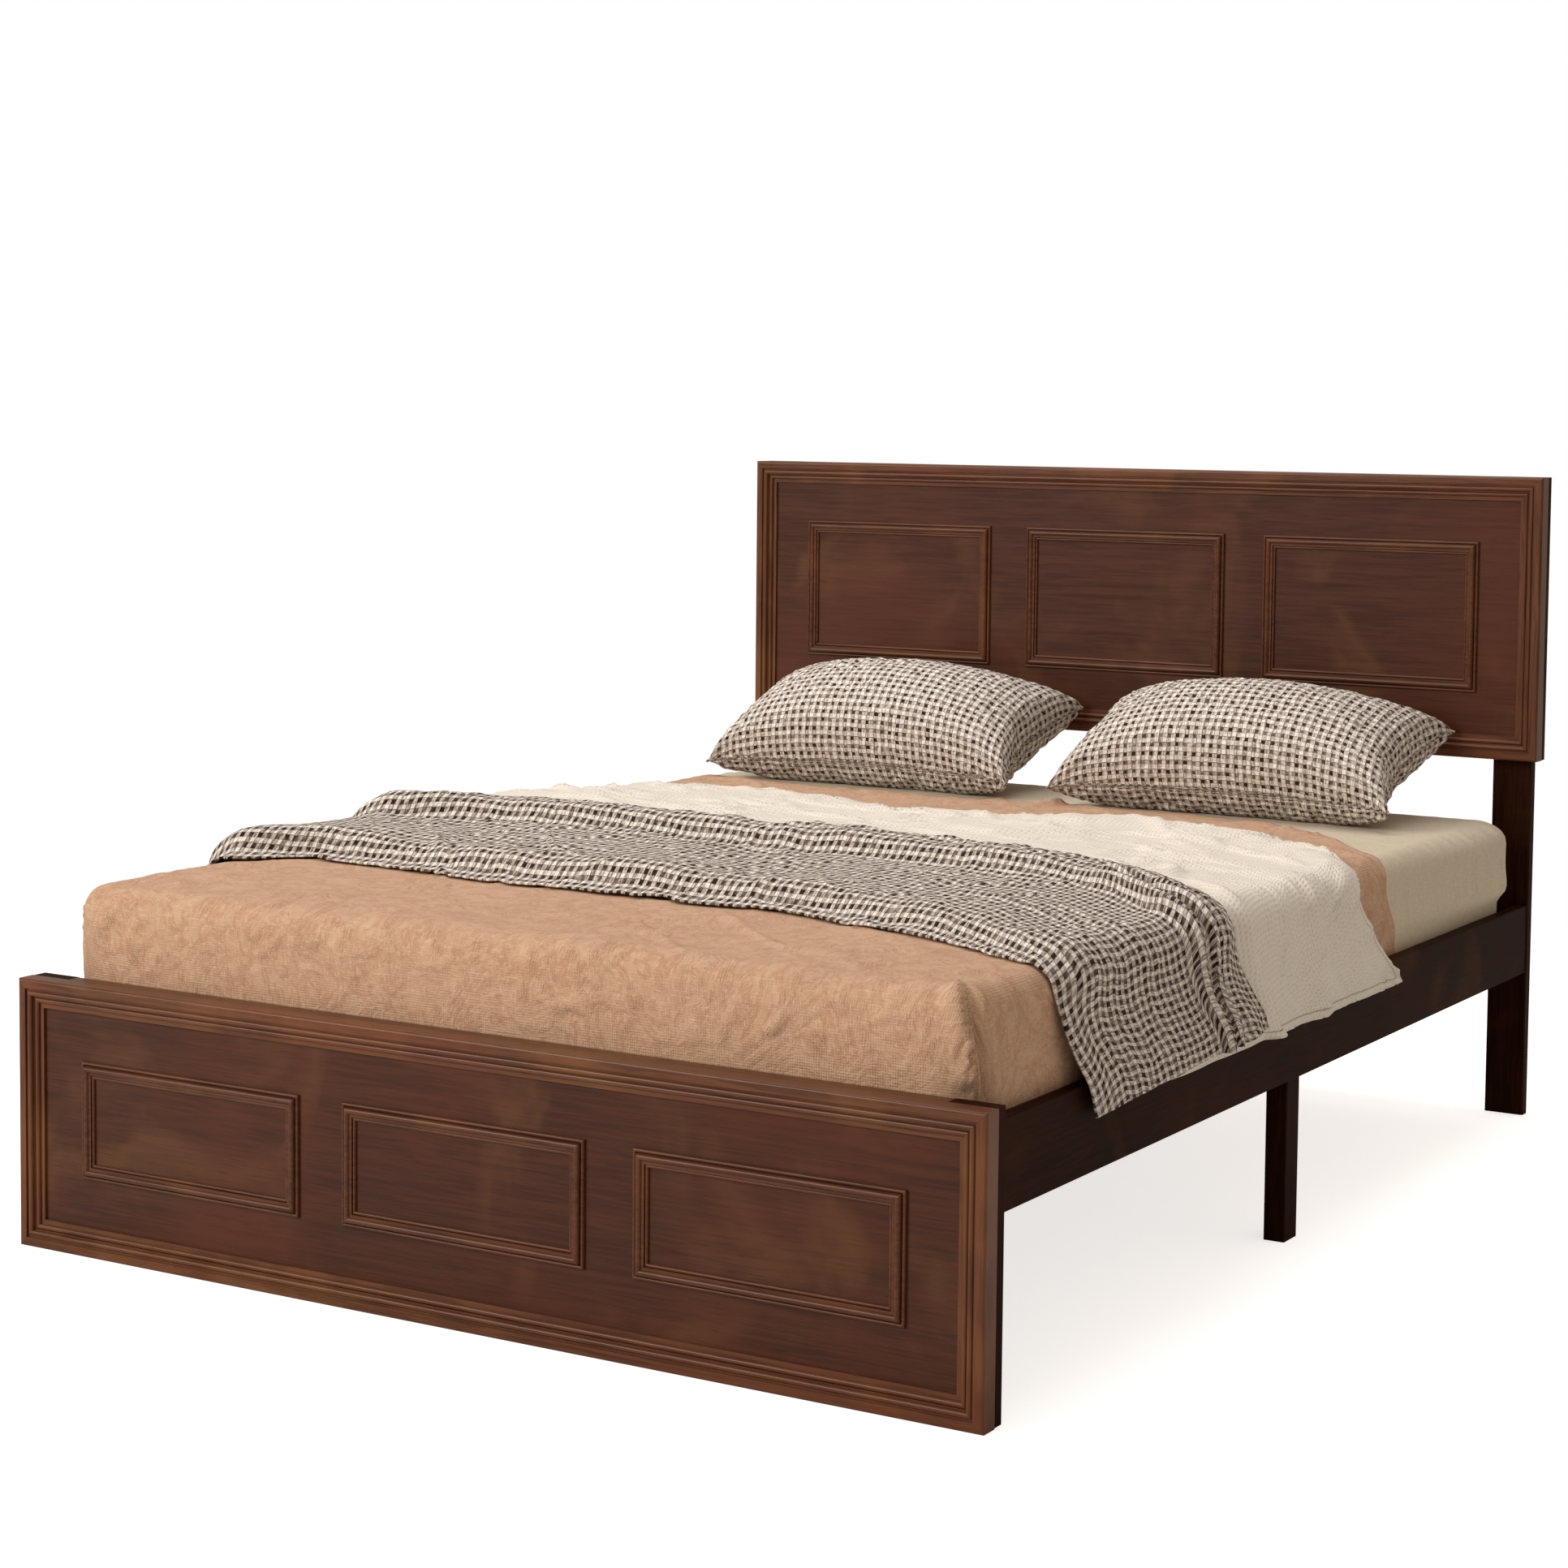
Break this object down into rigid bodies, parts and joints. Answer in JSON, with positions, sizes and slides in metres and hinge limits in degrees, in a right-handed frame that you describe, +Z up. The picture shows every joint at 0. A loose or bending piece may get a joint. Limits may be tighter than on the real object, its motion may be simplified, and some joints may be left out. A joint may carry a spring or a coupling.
{
  "type": "platform bed",
  "caption": "Platform bed with framed and moulded head and foot boards, side rails, slats on ledgers and a centre beam, and a mattress with sheet, blanket, coverlet, throw and pillows.",
  "frame": {"origin": "middle of the footprint, on the floor", "axes": "+X to the right as seen from the foot of the bed, +Y towards the headboard, +Z up"},
  "size_m": [1.62, 2.156, 1.144],
  "materials": {
    "walnut_board": "satin",
    "walnut_moulding": "satin",
    "walnut_rail": "satin",
    "walnut_stile": "satin",
    "dark_cross_member": "satin",
    "dark_side_rail": "satin",
    "dark_upright": "satin",
    "pine_slat": "matte",
    "pine_leg": "matte",
    "pine_lengthwise": "matte",
    "zinc_steel": "satin",
    "mattress_ticking": "matte",
    "sheet_cotton": "matte",
    "tan_cotton": "matte",
    "cream_cotton": "matte",
    "checked_weave": "matte",
    "checked_pillow_weave": "matte"
  },
  "bodies": {
    "frame": {"headboard_panel": "walnut_board", "headboard_rim_top": "walnut_rail", "headboard_rim_bottom": "walnut_rail", "headboard_rim_left": "walnut_stile", "headboard_rim_right": "walnut_stile", "headboard_moulding_left": "walnut_moulding", "headboard_moulding_centre": "walnut_moulding", "headboard_moulding_right": "walnut_moulding", "headboard_post_left": "dark_upright", "headboard_post_right": "dark_upright", "headboard_back_rail": "dark_cross_member", "headboard_cross_rail": "dark_cross_member", "headboard_screws": "zinc_steel", "footboard_panel": "walnut_board", "footboard_rim_top": "walnut_rail", "footboard_rim_bottom": "walnut_rail", "footboard_rim_left": "walnut_stile", "footboard_rim_right": "walnut_stile", "footboard_moulding_left": "walnut_moulding", "footboard_moulding_centre": "walnut_moulding", "footboard_moulding_right": "walnut_moulding", "footboard_leg_left": "dark_upright", "footboard_leg_right": "dark_upright", "footboard_back_rail": "dark_cross_member", "footboard_cross_rail": "dark_cross_member", "footboard_screws": "zinc_steel", "frame_dowels": "pine_lengthwise", "side_rail_left": "dark_side_rail", "side_rail_right": "dark_side_rail", "ledger_left": "pine_lengthwise", "ledger_right": "pine_lengthwise", "mid_leg_left": "dark_upright", "mid_leg_right": "dark_upright", "corner_brackets": "zinc_steel", "centre_beam": "pine_lengthwise", "beam_hangers": "zinc_steel", "centre_leg_foot": "pine_leg", "centre_leg_head": "pine_leg", "frame_screws": "zinc_steel", "slat_screws": "zinc_steel", "slat_01": "pine_slat", "slat_02": "pine_slat", "slat_03": "pine_slat", "slat_04": "pine_slat", "slat_05": "pine_slat", "slat_06": "pine_slat", "slat_07": "pine_slat", "slat_08": "pine_slat", "slat_09": "pine_slat", "slat_10": "pine_slat", "slat_11": "pine_slat", "slat_12": "pine_slat"},
    "mattress_and_bedding": {"mattress": "mattress_ticking", "fitted_sheet": "sheet_cotton", "tan_blanket": "tan_cotton", "cream_coverlet": "cream_cotton", "checked_throw": "checked_weave"},
    "left_pillow": {"pillow_left": "checked_pillow_weave"},
    "right_pillow": {"pillow_right": "checked_pillow_weave"}
  },
  "joints": [
    {"name": "mattress_lift", "type": "slide", "parent": "frame", "child": "mattress_and_bedding", "axis": [0, 0, 1], "range_m": [0, 0.35]},
    {"name": "pillow_left_lift", "type": "slide", "parent": "mattress_and_bedding", "child": "left_pillow", "axis": [0, 0, 1], "range_m": [0, 0.3]},
    {"name": "pillow_right_lift", "type": "slide", "parent": "mattress_and_bedding", "child": "right_pillow", "axis": [0, 0, 1], "range_m": [0, 0.3]}
  ]
}
